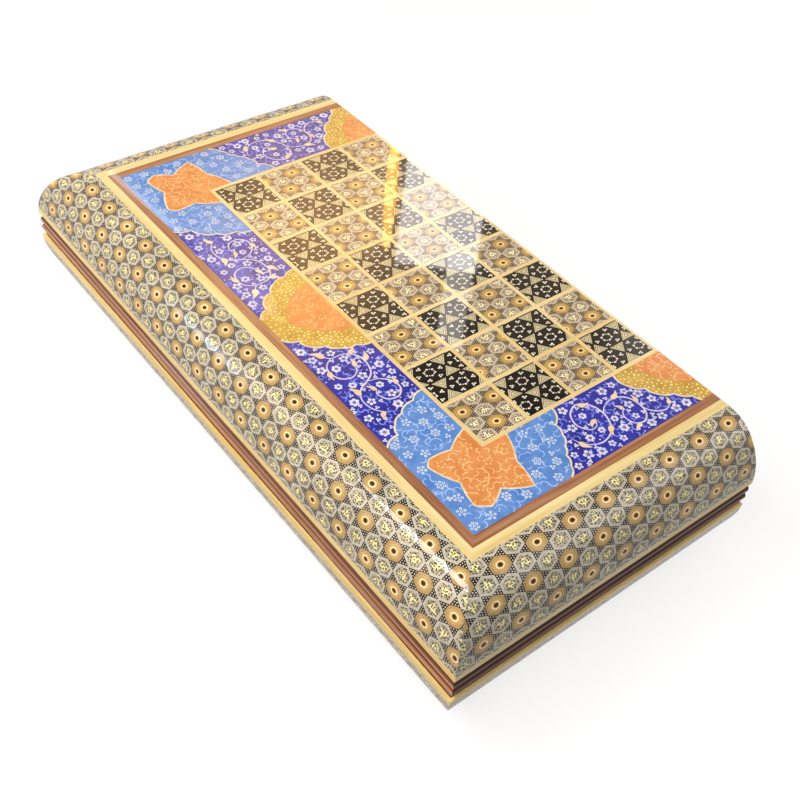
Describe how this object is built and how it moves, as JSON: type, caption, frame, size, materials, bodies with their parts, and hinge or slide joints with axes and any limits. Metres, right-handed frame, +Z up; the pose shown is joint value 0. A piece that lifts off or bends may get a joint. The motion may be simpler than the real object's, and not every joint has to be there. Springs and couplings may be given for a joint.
{
  "type": "chess and backgammon board",
  "caption": "Closed folding game case with bulged marquetry sides: half a chessboard on each outer face, a backgammon field inside, hinged along one long edge.",
  "frame": {"origin": "middle of the lower chess face of the closed case, on the surface that it lies on", "axes": "+X across the leaves to the fold edge, +Y along the fold, +Z up through the closed case"},
  "size_m": [0.251, 0.496, 0.103],
  "materials": {
    "core_wood": "lacquered brown wood",
    "rim_wood": "lacquered walnut",
    "cream_inlay": "lacquered boxwood",
    "side_marquetry": "lacquered khatam marquetry",
    "light_marquetry": "lacquered khatam marquetry",
    "dark_marquetry": "lacquered dark khatam marquetry",
    "painted_panel": "painted illumination under lacquer",
    "field_wood": "lacquered walnut",
    "brass": "polished brass"
  },
  "bodies": {
    "lower_leaf": {"hinge_1_lower_plate": "brass", "hinge_1_pin": "brass", "hinge_2_lower_plate": "brass", "hinge_2_pin": "brass", "lower_brown_frame": "rim_wood", "lower_cream_frame": "cream_inlay", "lower_dark_points": "dark_marquetry", "lower_dark_squares": "dark_marquetry", "lower_deck": "core_wood", "lower_far_end_khatam": "side_marquetry", "lower_far_end_rail": "core_wood", "lower_far_end_rim": "rim_wood", "lower_field_panel": "field_wood", "lower_field_stringing": "cream_inlay", "lower_fold_rail": "core_wood", "lower_fold_rim": "rim_wood", "lower_grid_strips": "cream_inlay", "lower_hinge_screws": "brass", "lower_light_points": "light_marquetry", "lower_light_squares": "light_marquetry", "lower_long_khatam": "side_marquetry", "lower_long_rail": "core_wood", "lower_long_rim": "rim_wood", "lower_near_end_khatam": "side_marquetry", "lower_near_end_rail": "core_wood", "lower_near_end_rim": "rim_wood", "lower_painted_border": "painted_panel", "lower_side_stringing": "cream_inlay"},
    "upper_leaf": {"hinge_1_upper_plate": "brass", "hinge_2_upper_plate": "brass", "upper_brown_frame": "rim_wood", "upper_cream_frame": "cream_inlay", "upper_dark_points": "dark_marquetry", "upper_dark_squares": "dark_marquetry", "upper_deck": "core_wood", "upper_far_end_khatam": "side_marquetry", "upper_far_end_rail": "core_wood", "upper_far_end_rim": "rim_wood", "upper_field_panel": "field_wood", "upper_field_stringing": "cream_inlay", "upper_fold_rail": "core_wood", "upper_fold_rim": "rim_wood", "upper_grid_strips": "cream_inlay", "upper_hinge_screws": "brass", "upper_light_points": "light_marquetry", "upper_light_squares": "light_marquetry", "upper_long_khatam": "side_marquetry", "upper_long_rail": "core_wood", "upper_long_rim": "rim_wood", "upper_near_end_khatam": "side_marquetry", "upper_near_end_rail": "core_wood", "upper_near_end_rim": "rim_wood", "upper_painted_border": "painted_panel", "upper_side_stringing": "cream_inlay"}
  },
  "joints": [
    {"name": "fold_hinge", "type": "hinge", "parent": "lower_leaf", "child": "upper_leaf", "pos_m": [0.12425, 0, 0.0515], "axis": [0, 1, 0], "range_deg": [0, 180]}
  ]
}
